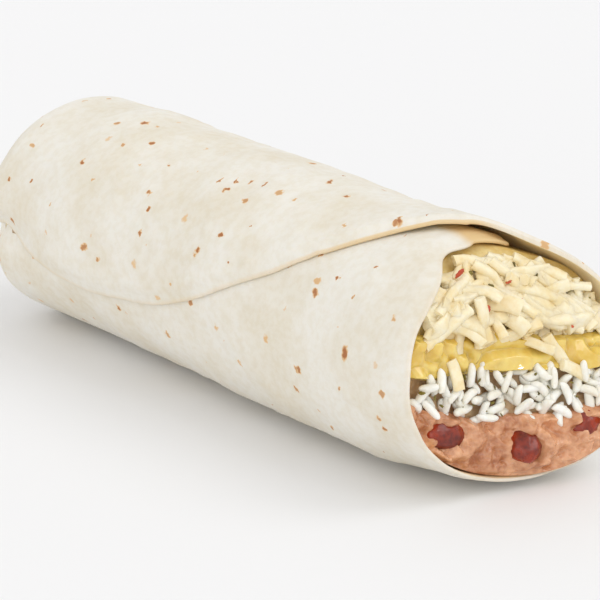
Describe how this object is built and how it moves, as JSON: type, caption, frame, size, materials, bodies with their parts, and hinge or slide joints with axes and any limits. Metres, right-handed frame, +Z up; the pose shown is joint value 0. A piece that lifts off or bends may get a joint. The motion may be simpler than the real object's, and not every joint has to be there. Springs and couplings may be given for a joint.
{
  "type": "burrito",
  "caption": "Flour-tortilla burrito, rolled with a loose outer flap, tucked shut at one end and open at the other to show beans, rice, chile sauce and shredded cheese.",
  "frame": {"origin": "on the floor under the middle of the burrito's bounding box", "axes": "+X along the roll towards the open end, +Z up, -Y the side where the outer flap's free edge shows"},
  "size_m": [0.1976, 0.0721, 0.0619],
  "materials": {
    "tortilla": "soft matt flour tortilla, off-white with small brown toast spots",
    "refried_beans": "moist mashed beans, pinkish brown with wet glints",
    "rice": "cooked white rice, slightly glossy",
    "chile_sauce": "wet golden chile sauce",
    "shredded_cheese": "ivory shredded cheese, waxy",
    "whole_bean": "dark red-brown bean skin, wet"
  },
  "bodies": {
    "root": {"tortilla": "tortilla", "refried_beans": "refried_beans", "rice": "rice", "chile_sauce": "chile_sauce", "shredded_cheese": "shredded_cheese", "whole_bean_1": "whole_bean", "whole_bean_2": "whole_bean", "whole_bean_3": "whole_bean"}
  },
  "joints": []
}
